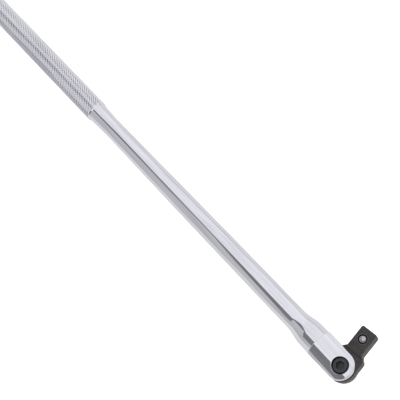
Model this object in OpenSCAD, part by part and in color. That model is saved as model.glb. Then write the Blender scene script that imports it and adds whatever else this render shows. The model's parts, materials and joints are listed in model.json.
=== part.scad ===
// Half-inch flex-head breaker bar, 449 mm long, in millimetres.
// The bar lies along X with its yoke at the +X end, and the head turns about an axis along Z.
// The origin is on the axis of the square drive, at the shoulder that a socket seats on.

/* [Bar] */
// Overall length, from the butt to the nose of the yoke
bar_length = 449; // [420:1:600]
// Distance from the nose of the yoke to the pivot axis
pivot_to_nose = 9.8; // [9.4:0.1:10.4]

/* [Grip] */
// Length of the knurled grip
grip_length = 157; // [100:1:180]
// Diameter over the knurl
grip_d = 17.75; // [17:0.05:19]
// Chamfer on the butt end
butt_chamfer = 1.6; // [0.8:0.1:3]
// Height of the step where the knurl ends
grip_step = 0.7; // [0.2:0.05:0.9]

/* [Shank] */
// Diameter at the waist, just after the grip
waist_d = 14.8; // [13.5:0.1:15.5]
// Distance from the grip to the waist
waist_run = 26; // [20:1:45]
// Diameter where the shank starts to flare into the yoke
shank_d = 17.1; // [16.2:0.1:17.6]
// Distance from the pivot to the start of the flare
flare_start = 48.5; // [46:0.5:56]

/* [Yoke] */
// Width of the yoke across its flat sides
yoke_w = 21.8; // [21.6:0.1:22.4]
// Height of the yoke over its crowned faces
yoke_t = 22; // [21.8:0.1:23]
// Radius of the crowned faces
crown_r = 17; // [15:0.5:24]
// Distance from the pivot to the crease where the yoke starts
yoke_start = 24.3; // [22:0.1:27]
// Height of the step where the flare meets the yoke
yoke_step = 0.25; // [0.15:0.05:0.4]
// Width of the slot between the two ears
slot_width = 10.3; // [10.2:0.05:10.6]
// Distance from the pivot to the bottom of the slot
slot_depth = 12.6; // [12.4:0.1:13.5]

/* [Drive head] */
// Angle of the drive from the bar, where 0 is in line with it
head_angle = 97.5; // [-100:0.5:100]
// Side of the square drive
square_side = 12.7; // [12.5:0.05:12.75]
// Length of the square drive
square_length = 19; // [17:0.1:20]
// Distance from the pivot to the shoulder
shoulder_height = 13.2; // [13:0.1:15]
// Radius of the eye round the pivot
eye_r = 10.4; // [10.2:0.05:10.6]
// Half the width of the neck above the eye
neck_half = 10.2; // [9.6:0.05:10.2]
// Thickness of the tongue between the ears
tongue_t = 10; // [9.8:0.05:10]

/* [Pivot screw] */
// Diameter of the counterbore in the front ear
counterbore_d = 12.5; // [12.2:0.1:13]
// Diameter of the screw's head
screw_head_d = 11; // [10.6:0.1:11.4]
// Width of the hexagon socket across its flats
hex_af = 6; // [5:1:6]
// Diameter of the shoulder that the head turns on
pivot_d = 9; // [8.6:0.1:9.2]
// Diameter of the thread in the rear ear
thread_d = 8; // [6:1:8]

/* [Balls and springs] */
// Diameter of the socket-retaining ball
retaining_ball_d = 6.35; // [6:0.05:6.35]
// How far the retaining ball stands out of the square
retaining_ball_out = 1.5; // [1:0.1:1.6]
// Distance from the tip of the square to the retaining ball
retaining_ball_from_tip = 8.1; // [7:0.1:9]
// Diameter of the friction ball in the yoke
friction_ball_d = 5; // [4:0.5:5]
// Depth of the friction ball's bore below the slot
friction_bore_depth = 15; // [12:1:20]

/* [Hidden] */
$fn = 96;

// Stations along the bar, measured from the pivot
butt_x = pivot_to_nose - bar_length;
grip_end_x = butt_x + grip_length;
waist_x = grip_end_x + waist_run;
grip_r = grip_d / 2;
waist_r = waist_d / 2;
shank_r = shank_d / 2;
flare_run = 15.5;
yoke_half = yoke_w / 2;
yoke_top = yoke_t / 2;
flare_end_r = yoke_top - yoke_step;
flare_settle = 0.1;
corner_r = norm([yoke_half, yoke_top]);
corner_run = 3;
profile_steps = 24;

// Clearances and small edges
running_gap = 0.06;
screw_gap = 0.03;
ball_gap = 0.05;
friction_gap = 0.1;
edge = 0.5;
over = 1;

// Levels along the pivot axis
ear_inner = slot_width / 2;
counterbore_floor = ear_inner + 1.6;
washer_t = 0.6;
screw_seat = counterbore_floor + washer_t;
screw_top = screw_seat + 2.6;
hex_depth = 4.2;
hex_turn = 16;
screw_end = -(yoke_top - 0.7);

// The square drive, in the head's own frame: Y is the drive axis and the pivot is at 0
square_half = square_side / 2;
square_tip = shoulder_height + square_length;
square_edge = 0.5;
tip_chamfer = 1;
tongue_half = tongue_t / 2;
shoulder_round = 3.4;
root_fillet = 1.5;
cheek_start = shoulder_height - 0.7;

// The retaining ball stands out of the +Z face of the square
retaining_r = retaining_ball_d / 2;
retaining_y = square_tip - retaining_ball_from_tip;
retaining_z = square_half + retaining_ball_out - retaining_r;
retaining_floor = -square_half + 1.9;
staked_lip_t = 0.25;
staked_lip_r = 3.05;
stake_recess_r = 3.5;
stake_recess_depth = 0.35;
stake_ring_r = 4.3;
stake_ring_w = 0.3;
stake_ring_depth = 0.2;

// The friction ball lies in the bottom of the slot, on the bar's axis
friction_r = friction_ball_d / 2;
friction_x = -(eye_r + friction_gap + friction_r);
friction_floor = -(slot_depth + friction_bore_depth);

function ease(u) = u * u * (3 - 2 * u);
function mix(a, b, u) = a + (b - a) * u;

// Radius of the run-out behind the grip, which falls to the waist along a parabola
function runout_r(u) = mix(waist_r, grip_r - grip_step, pow(1 - u, 2));
// Radius of the long shank, which swells gently towards the yoke
function taper_r(u) = mix(shank_r, waist_r, pow(1 - u, 2));
// Radius of the flare, which swells into the round neck of the yoke
function flare_r(u) = mix(shank_r, flare_end_r - flare_settle, ease(u));

// One stretch of the bar's outline, from x0 to x1, without its last point
function stretch(x0, x1, kind) = [
    for (i = [0 : profile_steps - 1])
        let (u = i / profile_steps)
            [mix(x0, x1, u), kind == "runout" ? runout_r(u) : kind == "taper" ? taper_r(u) : flare_r(u)]
];

// Moves the pivot away from the origin, so that the shoulder of the drive lies on it
module from_pivot() {
    translate([-shoulder_height * cos(head_angle), -shoulder_height * sin(head_angle), 0])
        children();
}

// The head's own frame, turned to its stored angle
module in_head() {
    from_pivot() rotate([0, 0, head_angle - 90]) children();
}

// A cylinder along Z between two levels
module post(r, z0, z1) {
    translate([0, 0, z0]) cylinder(r = r, h = z1 - z0);
}

// The bar's outline turned about X
module turned_bar() {
    rotate([0, 90, 0]) rotate_extrude(angle = 360)
        rotate(90) polygon(concat(
            [
                [butt_x, 0],
                [butt_x, grip_r - butt_chamfer],
                [butt_x + butt_chamfer, grip_r],
                [grip_end_x - grip_step, grip_r]
            ],
            stretch(grip_end_x, waist_x, "runout"),
            stretch(waist_x, -flare_start, "taper"),
            stretch(-flare_start, flare_run - flare_start, "flare"),
            [
                [flare_run - flare_start, flare_end_r - flare_settle],
                [-yoke_start, flare_end_r],
                [-slot_depth, flare_end_r],
                [-slot_depth, 0]
            ]
        ));
}

// The yoke's cross-section: flat sides between two crowned faces
module yoke_section() {
    intersection() {
        square([yoke_w, yoke_t], center = true);
        translate([0, yoke_top - crown_r]) circle(r = crown_r);
        translate([0, crown_r - yoke_top]) circle(r = crown_r);
    }
}

// The yoke seen along the pivot, with its round nose
module yoke_plan() {
    translate([-yoke_start, -yoke_half]) square([yoke_start + pivot_to_nose - yoke_half, yoke_w]);
    translate([pivot_to_nose - yoke_half, 0]) circle(r = yoke_half);
}

module yoke_block() {
    intersection() {
        translate([-yoke_start, 0, 0]) rotate([90, 0, 90])
            linear_extrude(yoke_start + pivot_to_nose) yoke_section();
        translate([0, 0, -yoke_top]) linear_extrude(yoke_t) yoke_plan();
        rotate([0, 90, 0]) rotate_extrude() rotate(90) polygon([
            [-yoke_start, 0],
            [-yoke_start, yoke_top],
            [-yoke_start + corner_run, corner_r],
            [pivot_to_nose, corner_r],
            [pivot_to_nose, 0]
        ]);
    }
}

module handle_bar() {
    color([0.80, 0.81, 0.84]) from_pivot() difference() {
        union() {
            turned_bar();
            yoke_block();
        }
        translate([-slot_depth, -yoke_w, -ear_inner])
            cube([slot_depth + yoke_w, 2 * yoke_w, slot_width]);
        post(pivot_d / 2 + screw_gap, 0, yoke_top);
        post(counterbore_d / 2, counterbore_floor, yoke_top + over);
        post(thread_d / 2 + screw_gap, -(yoke_top + over), 0);
        translate([friction_floor, 0, 0]) rotate([0, 90, 0])
            cylinder(r = friction_r + ball_gap, h = friction_bore_depth + over);
    }
}

// The head seen along the pivot: the eye, the neck and its rounded shoulder
module head_outline() {
    circle(r = eye_r);
    translate([-neck_half, 0]) square([2 * neck_half, shoulder_height - shoulder_round]);
    translate([-neck_half + shoulder_round, 0])
        square([2 * (neck_half - shoulder_round), shoulder_height]);
    for (side = [-1, 1])
        translate([side * (neck_half - shoulder_round), shoulder_height - shoulder_round])
            circle(r = shoulder_round);
    polygon([
        [-square_half - root_fillet, shoulder_height],
        [-square_half, shoulder_height + root_fillet],
        [square_half, shoulder_height + root_fillet],
        [square_half + root_fillet, shoulder_height]
    ]);
}

// The square drive's side view, with its tip chamfered
module square_side_view() {
    polygon([
        [-square_half, 0],
        [square_half, 0],
        [square_half, square_tip - tip_chamfer],
        [square_half - tip_chamfer, square_tip],
        [-square_half + tip_chamfer, square_tip],
        [-square_half, square_tip - tip_chamfer]
    ]);
}

// The square's cross-section, with its long edges broken
module square_section() {
    intersection() {
        square(square_side, center = true);
        rotate(45) square(square_side * sqrt(2) - 2 * square_edge, center = true);
    }
}

module square_drive() {
    intersection() {
        translate([0, 0, -square_half]) linear_extrude(square_side) square_side_view();
        rotate([0, -90, 0]) translate([0, 0, -square_half])
            linear_extrude(square_side) square_side_view();
        rotate([-90, 0, 0]) linear_extrude(square_tip) square_section();
        translate([-square_half, shoulder_height + root_fillet / 2, -square_half])
            cube([square_side, square_length, square_side]);
    }
}

// The tongue's thickness seen along X, which grows to the square's just clear of the ears
module tongue_side_view() {
    cheek_end = cheek_start + square_half - tongue_half;
    polygon([
        [-eye_r, -tongue_half],
        [cheek_start, -tongue_half],
        [cheek_end, -square_half],
        [shoulder_height + root_fillet, -square_half],
        [shoulder_height + root_fillet, square_half],
        [cheek_end, square_half],
        [cheek_start, tongue_half],
        [-eye_r, tongue_half]
    ]);
}

module drive_head() {
    color([0.16, 0.16, 0.16]) in_head() difference() {
        union() {
            intersection() {
                translate([0, 0, -square_half]) linear_extrude(square_side) head_outline();
                rotate([90, 0, 90]) translate([0, 0, -eye_r])
                    linear_extrude(2 * eye_r) tongue_side_view();
            }
            square_drive();
        }
        post(pivot_d / 2 + running_gap, -square_half, square_half);
        translate([0, retaining_y, 0]) {
            post(retaining_r + ball_gap, retaining_floor, square_half - stake_recess_depth - staked_lip_t);
            post(staked_lip_r, 0, square_half + over);
            post(stake_recess_r, square_half - stake_recess_depth, square_half + over);
            translate([0, 0, square_half - stake_ring_depth]) difference() {
                cylinder(r = stake_ring_r, h = over);
                cylinder(r = stake_ring_r - stake_ring_w, h = over);
            }
        }
    }
}

module pivot_screw() {
    color([0.20, 0.21, 0.21]) from_pivot() difference() {
        union() {
            rotate_extrude() polygon([
                [0, screw_seat],
                [screw_head_d / 2, screw_seat],
                [screw_head_d / 2, screw_top - edge],
                [screw_head_d / 2 - edge, screw_top],
                [0, screw_top]
            ]);
            post(pivot_d / 2, -ear_inner, screw_seat);
            rotate_extrude() polygon([
                [0, screw_end],
                [thread_d / 2 - edge, screw_end],
                [thread_d / 2, screw_end + edge],
                [thread_d / 2, -ear_inner],
                [0, -ear_inner]
            ]);
        }
        translate([0, 0, screw_top - hex_depth]) rotate(hex_turn)
            cylinder(r = hex_af / sqrt(3), h = hex_depth + over, $fn = 6);
    }
}

module spring_washer() {
    color([0.45, 0.45, 0.47]) from_pivot() translate([0, 0, counterbore_floor])
        difference() {
            cylinder(r = counterbore_d / 2 - 0.2, h = washer_t);
            translate([0, 0, -over]) cylinder(r = pivot_d / 2 + 0.2, h = washer_t + 2 * over);
        }
}

// A wire wound round Z from 0 to the given height, with its ends turned flat
module coil_spring(coil_r, wire_r, height, turns) {
    sides = 8;
    steps_per_turn = 20;
    steps = turns * steps_per_turn;
    rise = height - 2 * wire_r;
    rings = [
        for (i = [0 : steps])
            let (u = i / steps, a = 360 * turns * u, z = wire_r + rise * ease(u))
                [
                    for (k = [0 : sides - 1])
                        let (b = 360 * k / sides, r = coil_r + wire_r * cos(b))
                            [r * cos(a), r * sin(a), z + wire_r * sin(b)]
                ]
    ];
    walls = [
        for (i = [0 : steps - 1], k = [0 : sides - 1])
            let (a = i * sides + k, b = i * sides + (k + 1) % sides)
                [a, a + sides, b + sides, b]
    ];
    start_cap = [for (k = [0 : sides - 1]) k];
    end_cap = [for (k = [sides - 1 : -1 : 0]) steps * sides + k];
    polyhedron(points = [for (ring = rings) each ring], faces = concat([start_cap, end_cap], walls));
}

module friction_ball() {
    color([0.75, 0.75, 0.78]) from_pivot() translate([friction_x, 0, 0]) sphere(r = friction_r);
}

module friction_spring() {
    top = -friction_x + friction_r;
    color([0.55, 0.55, 0.58]) from_pivot() translate([friction_floor, 0, 0]) rotate([0, 90, 0])
        coil_spring(friction_r - 0.6, 0.45, -friction_floor - top, 6);
}

module retaining_ball() {
    color([0.85, 0.85, 0.87]) in_head() translate([0, retaining_y, retaining_z])
        sphere(r = retaining_r);
}

module retaining_spring() {
    color([0.55, 0.55, 0.58]) in_head() translate([0, retaining_y, retaining_floor])
        coil_spring(2.3, 0.4, retaining_z - retaining_r - retaining_floor, 4);
}

handle_bar();
drive_head();
pivot_screw();
spring_washer();
friction_ball();
friction_spring();
retaining_ball();
retaining_spring();
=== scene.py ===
"""Looks for the flex-head breaker bar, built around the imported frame.

Blender works in metres. The shapes below are worked out in millimetres from the pivot, with +X towards
the nose of the yoke and +Z along the pivot screw, and place() turns such a point into the frame's metres.
"""

import json
import math

import bmesh
import bpy
from mathutils import Matrix, Vector


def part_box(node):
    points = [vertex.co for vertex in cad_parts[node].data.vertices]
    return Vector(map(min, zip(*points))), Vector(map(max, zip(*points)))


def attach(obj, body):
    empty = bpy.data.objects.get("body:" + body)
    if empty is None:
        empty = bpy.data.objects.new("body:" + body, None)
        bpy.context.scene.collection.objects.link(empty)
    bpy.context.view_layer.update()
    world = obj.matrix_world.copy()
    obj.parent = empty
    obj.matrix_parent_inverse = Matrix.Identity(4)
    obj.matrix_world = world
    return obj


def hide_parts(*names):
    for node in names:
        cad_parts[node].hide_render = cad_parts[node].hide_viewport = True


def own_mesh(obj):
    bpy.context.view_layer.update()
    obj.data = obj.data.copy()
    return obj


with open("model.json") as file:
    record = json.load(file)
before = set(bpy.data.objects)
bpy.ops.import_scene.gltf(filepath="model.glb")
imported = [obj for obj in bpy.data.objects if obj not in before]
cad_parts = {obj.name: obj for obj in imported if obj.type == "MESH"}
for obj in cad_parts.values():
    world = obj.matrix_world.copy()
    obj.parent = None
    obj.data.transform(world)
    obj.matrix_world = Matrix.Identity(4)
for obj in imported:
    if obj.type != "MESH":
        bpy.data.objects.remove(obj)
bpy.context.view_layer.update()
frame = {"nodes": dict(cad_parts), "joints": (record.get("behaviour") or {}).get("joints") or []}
nodes = frame["nodes"]
joints = {joint["name"]: joint for joint in frame["joints"]}
pivot = Vector(joints["head_pivot"]["pos_m"])
scene = bpy.context.scene
scene.view_settings.view_transform = "Standard"

MM = 0.001
bar_low, bar_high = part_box("handle_bar")


def place(x, y, z):
    return pivot + Vector((x, y, z)) * MM


# ---------------------------------------------------------------- sizes of the bar, in mm from the pivot
BUTT_X = (bar_low.x - pivot.x) / MM
NOSE_X = (bar_high.x - pivot.x) / MM
YOKE_HALF = (bar_high.y - bar_low.y) / 2 / MM
YOKE_TOP = (bar_high.z - bar_low.z) / 2 / MM

GRIP_LENGTH = 157.0
GRIP_R = 8.875
GRIP_STEP = 0.7
GRIP_END_X = BUTT_X + GRIP_LENGTH
BUTT_CHAMFER = 1.6
WAIST_R = 7.4
WAIST_X = GRIP_END_X + 26.0
SHANK_R = 8.55
FLARE_X = -48.5
FLARE_RUN = 15.5
YOKE_X = -24.3
YOKE_STEP = 0.25
NECK_R = YOKE_TOP - YOKE_STEP
NECK_SETTLE = 0.1
CROWN_R = 17.0
CORNER_RUN = 3.0
CORNER_R = math.hypot(YOKE_HALF, YOKE_TOP)
SLOT_X = -12.6
SLOT_HALF = 5.15
COUNTERBORE_R = 6.25
COUNTERBORE_Z = SLOT_HALF + 1.6
PIVOT_HOLE_R = 4.53
THREAD_HOLE_R = 4.03
FRICTION_BORE_R = 2.55
FRICTION_BORE_X = SLOT_X - 15.0

EDGE_ROUND = 0.8
BORE_ROUND = 0.3
REAR_ROUND = 0.5
# Where the crowned face meets the turned corner, and the least height at the outline, where they run out
CROWN_BLEND = 0.25
LEAST_HEIGHT = 0.2
# How far cutters stand past the surface that they open, and the shank past the yoke's rear face
CLEAR = 2.0
SLOT_CLEAR = 5.0
SHANK_INSIDE_YOKE = 5.0

# The diamond knurl: two crossing sets of V-grooves
KNURL_STARTS = 28
KNURL_ANGLE = math.radians(40)
KNURL_DEPTH = 0.23
KNURL_CREST = (0.76, 0.46)
KNURL_LAND = 0.5
SHOULDER_RUN = 0.9
SHOULDER_LAND = 0.2
KNURL_START_X = BUTT_X + BUTT_CHAMFER + KNURL_LAND
KNURL_END_X = GRIP_END_X - SHOULDER_RUN - SHOULDER_LAND
# The plain lands at both ends of the knurl lie this far under its crests
LAND_R = GRIP_R - 0.08
# Points round each lathe ring: a multiple of the knurl's starts, so that the two can be joined
TURNS = 5 * KNURL_STARTS


def ease(u):
    return u * u * (3 - 2 * u)


def mix(a, b, u):
    return a + (b - a) * u


def steps(count):
    return [i / count for i in range(count)]


# ---------------------------------------------------------------- the bar
def shank_profile():
    """(x, radius) from the end of the grip into the yoke."""
    top = GRIP_R - GRIP_STEP
    neck = NECK_R - NECK_SETTLE
    points = []
    for u in steps(20):
        points.append((mix(GRIP_END_X, WAIST_X, u), mix(WAIST_R, top, (1 - u) ** 2)))
    for u in steps(40):
        points.append((mix(WAIST_X, FLARE_X, u), mix(SHANK_R, WAIST_R, (1 - u) ** 2)))
    for u in steps(48):
        points.append((FLARE_X + FLARE_RUN * u, mix(SHANK_R, neck, ease(u))))
    for u in steps(16):
        points.append((mix(FLARE_X + FLARE_RUN, YOKE_X, u), mix(neck, NECK_R, u)))
    return points + [(YOKE_X, NECK_R), (YOKE_X + SHANK_INSIDE_YOKE, NECK_R)]


def add_ring(bm, x, r):
    angles = [math.tau * i / TURNS for i in range(TURNS)]
    return [bm.verts.new(place(x, r * math.cos(angle), r * math.sin(angle))) for angle in angles]


def bridge(bm, ring_a, ring_b):
    count = len(ring_a)
    for i in range(count):
        j = (i + 1) % count
        bm.faces.new((ring_a[i], ring_a[j], ring_b[j], ring_b[i]))


def add_lathe(bm, profile):
    rings = [add_ring(bm, *station) for station in profile]
    for ring_a, ring_b in zip(rings, rings[1:]):
        bridge(bm, ring_a, ring_b)
    return rings[0], rings[-1]


def add_knurl(bm, x0, x1):
    """Truncated pyramids between x0 and x1, and the rings of groove ends that close them."""
    pitch_x = math.tau * GRIP_R / KNURL_STARTS / math.tan(KNURL_ANGLE)
    rows = 2 * round((x1 - x0) / pitch_x)
    half_x = (x1 - x0) / rows
    half_turn = math.pi / KNURL_STARTS
    root_r = GRIP_R - KNURL_DEPTH

    def vertex(k, row, r):
        angle = k * half_turn
        return bm.verts.new(place(x0 + row * half_x, r * math.cos(angle), r * math.sin(angle)))

    columns = 2 * KNURL_STARTS
    roots = {}
    for row in range(rows + 1):
        for k in range(row % 2, columns, 2):
            roots[k, row] = vertex(k, row, root_r)
    for row in range(1, rows):
        for k in range((row + 1) % 2, columns, 2):
            around = ((k + 1, row), (k, row + 1), (k - 1, row), (k, row - 1))
            foot = [roots[a % columns, b] for a, b in around]
            crest = []
            for side_u, side_v in ((1, 1), (1, -1), (-1, -1), (-1, 1)):
                u, v = side_u * KNURL_CREST[0] / 2, side_v * KNURL_CREST[1] / 2
                crest.append(vertex(k + u + v, row + u - v, GRIP_R))
            bm.faces.new(crest)
            for i in range(4):
                j = (i + 1) % 4
                bm.faces.new((foot[i], foot[j], crest[j], crest[i]))
    for row, inner in ((0, 1), (rows, rows - 1)):
        for k in range(0, columns, 2):
            corner = (roots[k, row], roots[(k + 1) % columns, inner], roots[(k + 2) % columns, row])
            bm.faces.new(corner)
    return [[roots[k, row] for k in range(0, columns, 2)] for row in (0, rows)]


def close_knurl(bm, roots, ring):
    """Joins a ring of groove ends to a finer lathe ring."""
    share = len(ring) // len(roots)
    for i, root in enumerate(roots):
        j = (i + 1) % len(roots)
        arc = [ring[(i * share + s) % len(ring)] for s in range(share + 1)]
        bm.faces.new([roots[j], root] + arc)


def build_shaft():
    """The turned part of the bar: butt, knurled grip, shank, flare and neck, closed at both ends."""
    bm = bmesh.new()
    roots = add_knurl(bm, KNURL_START_X, KNURL_END_X)
    butt = [
        (BUTT_X, 0.6),
        (BUTT_X, GRIP_R - BUTT_CHAMFER - 0.25),
        (BUTT_X + 0.1, GRIP_R - BUTT_CHAMFER),
        (BUTT_X + BUTT_CHAMFER - 0.2, GRIP_R - 0.25),
        (BUTT_X + BUTT_CHAMFER + 0.1, LAND_R),
        (KNURL_START_X - 0.15, LAND_R),
        (KNURL_START_X, LAND_R - 0.2),
    ]
    first, last = add_lathe(bm, butt)
    centre = bm.verts.new(place(BUTT_X, 0, 0))
    for i in range(TURNS):
        bm.faces.new((centre, first[(i + 1) % TURNS], first[i]))
    close_knurl(bm, roots[0], last)
    land = [
        (KNURL_END_X, LAND_R - 0.1),
        (KNURL_END_X + 0.05, LAND_R),
        (GRIP_END_X - SHOULDER_RUN, LAND_R),
    ]
    first, last = add_lathe(bm, land + shank_profile())
    close_knurl(bm, roots[1], first)
    bm.faces.new(last)
    bmesh.ops.recalc_face_normals(bm, faces=bm.faces)
    return bm


# ---------------------------------------------------------------- the yoke
NOSE_CENTRE_X = NOSE_X - YOKE_HALF


def outline_reach(angle):
    """Distance from the pivot axis to the yoke's outline, in plan."""
    c, s = math.cos(angle), math.sin(angle)
    reach = NOSE_CENTRE_X * c + math.sqrt(YOKE_HALF**2 - (NOSE_CENTRE_X * s) ** 2)
    if reach * c >= NOSE_CENTRE_X:
        return reach
    side = YOKE_HALF / abs(s) if s else math.inf
    return min(side, YOKE_X / c)


def rounding(distance, radius):
    """How far a rounded edge falls below the face, at a distance in from the edge."""
    inward = max(0.0, radius - max(0.0, distance))
    return radius - math.sqrt(radius**2 - inward**2)


def yoke_height(x, y):
    """Height of the yoke's crowned face, with its edges rounded and its rear corners turned off."""
    crown = YOKE_TOP - CROWN_R + math.sqrt(CROWN_R**2 - y**2)
    run = max(0.0, x - YOKE_X)
    rise = 1 - min(run / REAR_ROUND, 1)
    turned = NECK_R + YOKE_STEP * math.sqrt(1 - rise**2) + (CORNER_R - YOKE_TOP) * run / CORNER_RUN
    corner = math.sqrt(max(0.0, turned**2 - y**2))
    gap = max(0.0, CROWN_BLEND - abs(crown - corner)) / CROWN_BLEND
    height = min(crown, corner) - CROWN_BLEND * gap**2 / 4
    if x < NOSE_CENTRE_X:
        edge = YOKE_HALF - abs(y)
    else:
        edge = YOKE_HALF - math.hypot(x - NOSE_CENTRE_X, y)
    height -= rounding(edge, EDGE_ROUND)
    bore_edge = math.hypot(x, y) - COUNTERBORE_R
    if bore_edge > 0:
        height -= rounding(bore_edge, BORE_ROUND)
    return max(height, LEAST_HEIGHT)


def yoke_angles():
    """Directions of the yoke's spokes: even, with more of them at the two rear corners."""
    corner = math.atan2(YOKE_HALF, YOKE_X)
    even = [math.tau * i / 192 for i in range(192)]
    extra = [corner, math.tau - corner]
    for span in (0.02, 0.045, 0.075):
        extra += [corner - span, corner + span, math.tau - corner - span, math.tau - corner + span]
    return sorted(even + extra)


def yoke_reaches(reach):
    """Ring radii along one direction: dense at the bore's edge and at the outline."""
    inner = [2.0, COUNTERBORE_R - 0.1]
    inner += [COUNTERBORE_R + BORE_ROUND * u for u in (0, 0.15, 0.4, 0.7, 1)]
    start, end = COUNTERBORE_R + BORE_ROUND, reach - 1.5 * EDGE_ROUND
    middle = [mix(start, end, (i + 1) / 44) for i in range(44)]
    rim = [reach - 1.5 * EDGE_ROUND * math.cos(math.pi / 2 * (i + 1) / 14) for i in range(14)]
    return inner + middle + rim


def build_yoke():
    """A closed block of two crowned faces, drawn as spokes from the pivot's axis."""
    bm = bmesh.new()
    shells = {1: [], -1: []}
    poles = {side: bm.verts.new(place(0, 0, side * yoke_height(0, 0))) for side in (1, -1)}
    for angle in yoke_angles():
        c, s = math.cos(angle), math.sin(angle)
        reaches = yoke_reaches(outline_reach(angle))
        for side in (1, -1):
            spoke = []
            for r in reaches:
                x, y = r * c, r * s
                spoke.append(bm.verts.new(place(x, y, side * yoke_height(x, y))))
            shells[side].append(spoke)
    for side, spokes in shells.items():
        for i, spoke in enumerate(spokes):
            after = spokes[(i + 1) % len(spokes)]
            bm.faces.new((poles[side], spoke[0], after[0]))
            for j in range(len(spoke) - 1):
                bm.faces.new((spoke[j], spoke[j + 1], after[j + 1], after[j]))
    upper, lower = shells[1], shells[-1]
    for i, spoke in enumerate(upper):
        j = (i + 1) % len(upper)
        bm.faces.new((spoke[-1], lower[i][-1], lower[j][-1], upper[j][-1]))
    bmesh.ops.recalc_face_normals(bm, faces=bm.faces)
    return bm


def to_object(bm, name):
    mesh = bpy.data.meshes.new(name)
    bm.to_mesh(mesh)
    bm.free()
    made = bpy.data.objects.new(name, mesh)
    scene.collection.objects.link(made)
    return made


def post(level_a, level_b, r, axis, count=96):
    """A closed cylinder between two levels along X or Z, for cutting."""
    bm = bmesh.new()
    rings = []
    for level in (level_a, level_b):
        ring = []
        for i in range(count):
            angle = math.tau * (i + 0.5) / count
            a, b = r * math.cos(angle), r * math.sin(angle)
            ring.append(bm.verts.new(place(level, a, b) if axis == "X" else place(a, b, level)))
        rings.append(ring)
    bridge(bm, rings[0], rings[1])
    bm.faces.new(rings[0])
    bm.faces.new(rings[1])
    bmesh.ops.recalc_face_normals(bm, faces=bm.faces)
    return to_object(bm, "cutter")


def slot_block():
    bm = bmesh.new()
    bmesh.ops.create_cube(bm, size=1)
    depth = NOSE_X - SLOT_X + SLOT_CLEAR
    for vert in bm.verts:
        x, y, z = vert.co
        vert.co = place(SLOT_X + (x + 0.5) * depth, y * 4 * YOKE_HALF, z * 2 * SLOT_HALF)
    return to_object(bm, "cutter")


def boolean(target, tool, operation):
    """Applies a boolean to the target's mesh and removes the tool."""
    modifier = target.modifiers.new(operation, "BOOLEAN")
    modifier.operation = operation
    modifier.solver = "EXACT"
    modifier.object = tool
    bpy.context.view_layer.update()
    graph = bpy.context.evaluated_depsgraph_get()
    result = bpy.data.meshes.new_from_object(target.evaluated_get(graph))
    target.modifiers.clear()
    target.data = result
    bpy.data.objects.remove(tool)


def shade(made, angle, flat=None):
    """Smooth shading with sharp edges beyond an angle; flat(face centre) picks faces that stay flat."""
    bm = bmesh.new()
    bm.from_mesh(made.data)
    bmesh.ops.remove_doubles(bm, verts=bm.verts, dist=1e-7)
    for face in bm.faces:
        face.smooth = not (flat and flat(face.calc_center_median()))
    for edge in bm.edges:
        edge.smooth = len(edge.link_faces) == 2 and edge.calc_face_angle(0) < angle
    bm.to_mesh(made.data)
    bm.free()


def make_handle():
    """The bar in one piece: the turned part and the yoke, with the slot, holes and bores cut in it."""
    made = to_object(build_shaft(), "chromed_handle")
    boolean(made, to_object(build_yoke(), "yoke"), "UNION")
    boolean(made, slot_block(), "DIFFERENCE")
    boolean(made, post(COUNTERBORE_Z, YOKE_TOP + CLEAR, COUNTERBORE_R, "Z"), "DIFFERENCE")
    boolean(made, post(0, YOKE_TOP, PIVOT_HOLE_R, "Z"), "DIFFERENCE")
    boolean(made, post(-YOKE_TOP - CLEAR, 0, THREAD_HOLE_R, "Z"), "DIFFERENCE")
    boolean(made, post(FRICTION_BORE_X, SLOT_X + CLEAR / 2, FRICTION_BORE_R, "X", 48), "DIFFERENCE")
    knurl_start = place(KNURL_START_X, 0, 0).x
    knurl_end = place(KNURL_END_X, 0, 0).x
    shade(made, math.radians(28), lambda centre: knurl_start < centre.x < knurl_end)
    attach(made, "handle")
    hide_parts("handle_bar")
    return made


# ---------------------------------------------------------------- the head
HEAD_BEVEL = 0.35 * MM
# Edges this near to the ball's axis stay as the CAD has them
BALL_SURROUND = 4.8 * MM
ball_low, ball_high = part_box("retaining_ball")
ball_centre = (ball_low + ball_high) / 2


def make_head():
    """The CAD head's own shape with its arrises rounded, as forging and plating leave them."""
    source = nodes["drive_head"]
    bm = bmesh.new()
    bm.from_mesh(source.data)
    bmesh.ops.remove_doubles(bm, verts=bm.verts, dist=2e-6)
    bmesh.ops.dissolve_limit(bm, angle_limit=math.radians(0.5), verts=bm.verts, edges=bm.edges)

    def near_ball(edge):
        middle = (edge.verts[0].co + edge.verts[1].co) / 2 - ball_centre
        return math.hypot(middle.x, middle.y) < BALL_SURROUND

    sharp = [
        edge
        for edge in bm.edges
        if len(edge.link_faces) == 2 and edge.calc_face_angle(0) > 0.5 and not near_ball(edge)
    ]
    bmesh.ops.bevel(
        bm,
        geom=sharp,
        offset=HEAD_BEVEL,
        offset_type="OFFSET",
        segments=3,
        profile=0.5,
        affect="EDGES",
        clamp_overlap=True,
    )
    made = to_object(bm, "forged_head")
    shade(made, math.radians(35))
    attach(made, "head")
    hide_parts("drive_head")
    return made


# ---------------------------------------------------------------- the springs
def make_spring(node, body):
    """A copy of a CAD spring, shaded and carried by its body in place of the CAD node."""
    bm = bmesh.new()
    bm.from_mesh(nodes[node].data)
    made = to_object(bm, "wound_" + node)
    shade(made, math.radians(50))
    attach(made, body)
    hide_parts(node)
    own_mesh(made)
    return made


# ---------------------------------------------------------------- materials
# From the ball's centre to the rim of the recess that is painted dark as shade, and to the rim of the lighter
# ring round it
RECESS_REACH = 3.9 * MM
COLLAR_REACH = 4.35 * MM
# The painted shades in the ball's recess and in the bore, and the lighter ring round the recess, end over
# twice this distance
MASK_EDGE = 0.05 * MM
# The middle part of a noise that a finish is spread over
NOISE_LOW, NOISE_HIGH = 0.3, 0.7


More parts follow.
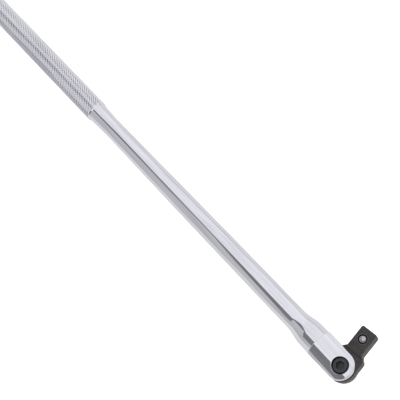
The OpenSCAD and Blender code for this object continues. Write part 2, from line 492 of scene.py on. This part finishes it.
class Nodes:
    """A material's node tree, with one short call for each kind of node that the finishes use."""

    def __init__(self, name):
        self.material = bpy.data.materials.new(name)
        self.material.use_nodes = True
        self.tree = self.material.node_tree
        self.shader = self.tree.nodes["Principled BSDF"]
        self.place = self.tree.nodes.new("ShaderNodeTexCoord").outputs["Object"]

    def link(self, out, to):
        self.tree.links.new(out, to)

    def set(self, **values):
        for label, value in values.items():
            self.shader.inputs[label.replace("_", " ")].default_value = value

    def stretched(self, scale):
        mapping = self.tree.nodes.new("ShaderNodeMapping")
        mapping.inputs["Scale"].default_value = scale
        self.link(self.place, mapping.inputs["Vector"])
        return mapping.outputs["Vector"]

    def noise(self, scale, detail=3.0, stretch=(1, 1, 1)):
        noise = self.tree.nodes.new("ShaderNodeTexNoise")
        noise.inputs["Scale"].default_value = scale
        noise.inputs["Detail"].default_value = detail
        self.link(self.stretched(stretch), noise.inputs["Vector"])
        return noise.outputs["Fac"]

    def beyond(self, centre, radius, stretch=(1, 1, 1)):
        """0 within a radius of a point and 1 outside it; a zero in stretch ignores that axis."""
        away = self.tree.nodes.new("ShaderNodeVectorMath")
        away.operation = "DISTANCE"
        self.link(self.stretched(stretch), away.inputs[0])
        away.inputs[1].default_value = [c * s for c, s in zip(centre, stretch)]
        edge = self.tree.nodes.new("ShaderNodeMapRange")
        edge.inputs["From Min"].default_value = radius - MASK_EDGE
        edge.inputs["From Max"].default_value = radius + MASK_EDGE
        self.link(away.outputs["Value"], edge.inputs["Value"])
        return edge.outputs["Result"]

    def mixed(self, factor, colour, other):
        """One colour where the factor is 0, and another node's colour where it is 1."""
        join = self.tree.nodes.new("ShaderNodeMix")
        join.data_type = "RGBA"
        join.inputs["A"].default_value = (*colour, 1)
        self.link(factor, join.inputs["Factor"])
        self.link(other, join.inputs["B"])
        return join.outputs["Result"]

    def spread(self, value, low, high):
        """A noise turned into a number between low and high."""
        scaled = self.tree.nodes.new("ShaderNodeMapRange")
        scaled.inputs["From Min"].default_value = NOISE_LOW
        scaled.inputs["From Max"].default_value = NOISE_HIGH
        scaled.inputs["To Min"].default_value = low
        scaled.inputs["To Max"].default_value = high
        self.link(value, scaled.inputs["Value"])
        return scaled.outputs["Result"]

    def blend(self, value, colour_a, colour_b):
        """A noise turned into a colour between two."""
        ramp = self.tree.nodes.new("ShaderNodeValToRGB")
        ramp.color_ramp.elements[0].position = NOISE_LOW
        ramp.color_ramp.elements[1].position = NOISE_HIGH
        ramp.color_ramp.elements[0].color = (*colour_a, 1)
        ramp.color_ramp.elements[1].color = (*colour_b, 1)
        self.link(value, ramp.inputs["Fac"])
        return ramp.outputs["Color"]

    def bump(self, value, strength, distance, after=None):
        bump = self.tree.nodes.new("ShaderNodeBump")
        bump.inputs["Strength"].default_value = strength
        bump.inputs["Distance"].default_value = distance
        self.link(value, bump.inputs["Height"])
        if after is not None:
            self.link(after, bump.inputs["Normal"])
        return bump.outputs["Normal"]


def chrome_plate():
    """Bright nickel-chrome: faint orange peel, a haze drawn along the bar by polishing, and painted shade:
    near-black inside the counterbore's radius.
    """
    made = Nodes("chrome_plate")
    made.set(Metallic=1.0)
    haze = made.noise(420, 4, (0.07, 1, 1))
    plate = made.blend(haze, (0.80, 0.80, 0.83), (0.95, 0.95, 0.965))
    # Painted shade: all of the bar within the counterbore's radius of the pivot axis is coloured near-black,
    # standing in for the shadow in the bore.
    outside = made.beyond(pivot, (COUNTERBORE_R + 0.02) * MM, (1, 1, 0))
    made.link(made.mixed(outside, (0.03, 0.03, 0.03), plate), made.shader.inputs["Base Color"])
    lines = made.noise(500, 3, (0.15, 1, 1))
    made.link(made.spread(lines, 0.02, 0.06), made.shader.inputs["Roughness"])
    peel = made.bump(made.noise(260, 2, (0.4, 1, 1)), 0.05, 0.0001)
    made.link(peel, made.shader.inputs["Normal"])
    return made.material


def black_phosphate():
    """Satin black on the forged head: fine grain, a warm cast, a lighter ring round the ball's recess, and
    painted shade inside the recess.
    """
    made = Nodes("black_phosphate")
    made.set(Metallic=0.0, Specular_IOR_Level=0.22)
    patches = made.blend(made.noise(170, 5), (0.058, 0.054, 0.051), (0.094, 0.086, 0.079))
    with_lighter_ring = made.mixed(made.beyond(ball_centre, COLLAR_REACH), (0.16, 0.154, 0.148), patches)
    # Painted shade: the head within RECESS_REACH of the ball's centre is coloured near-black, standing in for
    # the shadow in the recess round the ball.
    recess_painted_shade = made.mixed(made.beyond(ball_centre, RECESS_REACH), (0.004, 0.004, 0.004), with_lighter_ring)
    made.link(recess_painted_shade, made.shader.inputs["Base Color"])
    made.link(made.spread(made.noise(420, 4), 0.42, 0.62), made.shader.inputs["Roughness"])
    grain = made.bump(made.noise(1800, 3), 0.35, 0.00006)
    made.link(made.bump(made.noise(240, 3), 0.25, 0.00012, grain), made.shader.inputs["Normal"])
    return made.material


def black_oxide():
    """Black oxide on the screw: smooth and slightly mottled, with a fine grain."""
    made = Nodes("black_oxide")
    made.set(Metallic=0.0, Specular_IOR_Level=0.6)
    patches = made.blend(made.noise(300, 4), (0.030, 0.034, 0.033), (0.050, 0.056, 0.053))
    made.link(patches, made.shader.inputs["Base Color"])
    made.link(made.spread(made.noise(700, 3), 0.3, 0.48), made.shader.inputs["Roughness"])
    made.link(made.bump(made.noise(1500, 2), 0.25, 0.00005), made.shader.inputs["Normal"])
    return made.material


def black_washer_and_gap_shade():
    """Black steel spring washer, down in the counterbore, coloured darker still as painted shade for the gap
    round the screw head.
    """
    made = Nodes("black_washer_and_gap_shade")
    made.set(Metallic=0.0, Specular_IOR_Level=0.12)
    film = made.noise(600, 3)
    # Partly painted shade: the washer's near-black colour also stands in for the shadow in the counterbore's
    # gap.
    colour = made.blend(film, (0.006, 0.006, 0.007), (0.014, 0.014, 0.015))
    made.link(colour, made.shader.inputs["Base Color"])
    made.link(made.spread(film, 0.5, 0.7), made.shader.inputs["Roughness"])
    made.link(made.bump(film, 0.2, 0.00004), made.shader.inputs["Normal"])
    return made.material


def bearing_steel():
    """A polished ball with light scuffs from the sockets that it holds."""
    made = Nodes("bearing_steel")
    made.set(Metallic=1.0)
    scuffs = made.noise(900, 4, (1, 0.25, 1))
    colour = made.blend(scuffs, (0.42, 0.42, 0.44), (0.66, 0.66, 0.68))
    made.link(colour, made.shader.inputs["Base Color"])
    made.link(made.spread(scuffs, 0.12, 0.3), made.shader.inputs["Roughness"])
    made.link(made.bump(scuffs, 0.15, 0.00004), made.shader.inputs["Normal"])
    return made.material


def spring_wire():
    """Oiled spring steel with drawing lines."""
    made = Nodes("spring_wire")
    made.set(Metallic=1.0)
    lines = made.noise(1400, 3)
    colour = made.blend(lines, (0.33, 0.33, 0.35), (0.50, 0.50, 0.52))
    made.link(colour, made.shader.inputs["Base Color"])
    made.link(made.spread(lines, 0.25, 0.45), made.shader.inputs["Roughness"])
    made.link(made.bump(lines, 0.2, 0.00004), made.shader.inputs["Normal"])
    return made.material


def dress(made, material):
    made.data.materials.clear()
    made.data.materials.append(material)


handle = make_handle()
head = make_head()
wire = spring_wire()
steel = bearing_steel()
oxide = black_oxide()
dress(handle, chrome_plate())
dress(head, black_phosphate())
dress(nodes["pivot_screw"], oxide)
dress(nodes["retaining_ball"], steel)
dress(nodes["friction_ball"], steel)
dress(nodes["spring_washer"], black_washer_and_gap_shade())
dress(make_spring("friction_spring", "handle"), wire)
dress(make_spring("retaining_spring", "head"), wire)


# ---------------------------------------------------------------- camera
CAMERA_FROM_PIVOT = Vector((0.1943, 0.0038, 0.8416))
AIM_FROM_PIVOT = Vector((-0.1670, 0.0100, 0.0))
CAMERA_ROLL = math.radians(-46.1)
CAMERA_LENS = 109.5


def add_camera():
    """The photograph's viewpoint, found from the edges of the drive head."""
    data = bpy.data.cameras.new("camera")
    data.lens = CAMERA_LENS
    data.sensor_width = 36.0
    camera = bpy.data.objects.new("camera", data)
    scene.collection.objects.link(camera)
    camera.location = pivot + CAMERA_FROM_PIVOT
    forward = (AIM_FROM_PIVOT - CAMERA_FROM_PIVOT).normalized()
    side = forward.cross(Vector((0, 1, 0))).normalized()
    up = side.cross(forward)
    turn = Matrix.Rotation(CAMERA_ROLL, 3, forward)
    side, up = turn @ side, turn @ up
    basis = Matrix((side, up, -forward)).transposed()
    camera.rotation_euler = basis.to_euler()
    scene.camera = camera


# ---------------------------------------------------------------- stage
FLOOR_GLOW = 0.97
FLOOR_SIZE = 6
FLOOR_GAP = 0.5 * MM


def add_floor():
    """A plain white floor. Reflections look past it to the studio, so polished steel keeps its contrast."""
    bpy.ops.mesh.primitive_plane_add(size=FLOOR_SIZE, location=(pivot.x, pivot.y, bar_low.z - FLOOR_GAP))
    floor = bpy.context.object
    floor.name = "floor"
    made = Nodes("floor_white")
    made.set(Roughness=0.9, Specular_IOR_Level=0.1)
    paint = made.blend(made.noise(8, 2), (0.88, 0.88, 0.88), (0.9, 0.9, 0.9))
    made.link(paint, made.shader.inputs["Base Color"])
    made.set(Emission_Color=(1, 1, 1, 1), Emission_Strength=FLOOR_GLOW)
    floor.data.materials.append(made.material)
    floor.visible_glossy = False


# Two large softboxes hang over the bar with a gap between them. Each is placed by the middle of the edge
# that faces the gap, and extends to one side of it.
SOFTBOX_HEIGHT = 1.2
SHADE_BOX = {"edge": (-4.15, -0.45), "turn": 0, "side": -1, "size": (7.0, 7.0), "brightness": 0.33}
BRIGHT_BOX = {"edge": (-3.0, 1.42), "turn": -35, "side": 1, "size": (9.0, 7.0), "brightness": 0.66}
SOFTBOX_COLOUR = (0.95, 0.955, 1.0)
CEILING = (0.2, 0.2, 0.215)
WALLS = (0.72, 0.72, 0.74)
# The walls give way to the ceiling up to this height of the direction looked in, where 1 is straight up
CEILING_FROM = 0.2


def add_softbox(name, edge, turn, side, size, brightness):
    data = bpy.data.lights.new(name, "AREA")
    data.shape = "RECTANGLE"
    data.size, data.size_y = size
    data.energy = brightness * math.pi * size[0] * size[1]
    data.color = SOFTBOX_COLOUR
    lamp = bpy.data.objects.new(name, data)
    scene.collection.objects.link(lamp)
    angle = math.radians(turn)
    inward = Vector((-math.sin(angle), math.cos(angle), 0)) * side
    lamp.location = pivot + Vector((*edge, SOFTBOX_HEIGHT)) + inward * size[1] / 2
    lamp.rotation_euler = (0, 0, angle)


def add_world():
    """A plain room: pale walls that darken towards the ceiling."""
    world = bpy.data.worlds.new("studio")
    scene.world = world
    world.use_nodes = True
    tree = world.node_tree
    direction = tree.nodes.new("ShaderNodeSeparateXYZ")
    tree.links.new(tree.nodes.new("ShaderNodeTexCoord").outputs["Generated"], direction.inputs[0])
    ramp = tree.nodes.new("ShaderNodeValToRGB")
    ramp.color_ramp.interpolation = "EASE"
    ramp.color_ramp.elements[0].position = 0.0
    ramp.color_ramp.elements[1].position = CEILING_FROM
    ramp.color_ramp.elements[0].color = (*WALLS, 1)
    ramp.color_ramp.elements[1].color = (*CEILING, 1)
    tree.links.new(direction.outputs["Z"], ramp.inputs["Fac"])
    tree.links.new(ramp.outputs["Color"], tree.nodes["Background"].inputs["Color"])


add_camera()
add_floor()
add_world()
add_softbox("shade_softbox", **SHADE_BOX)
add_softbox("bright_softbox", **BRIGHT_BOX)
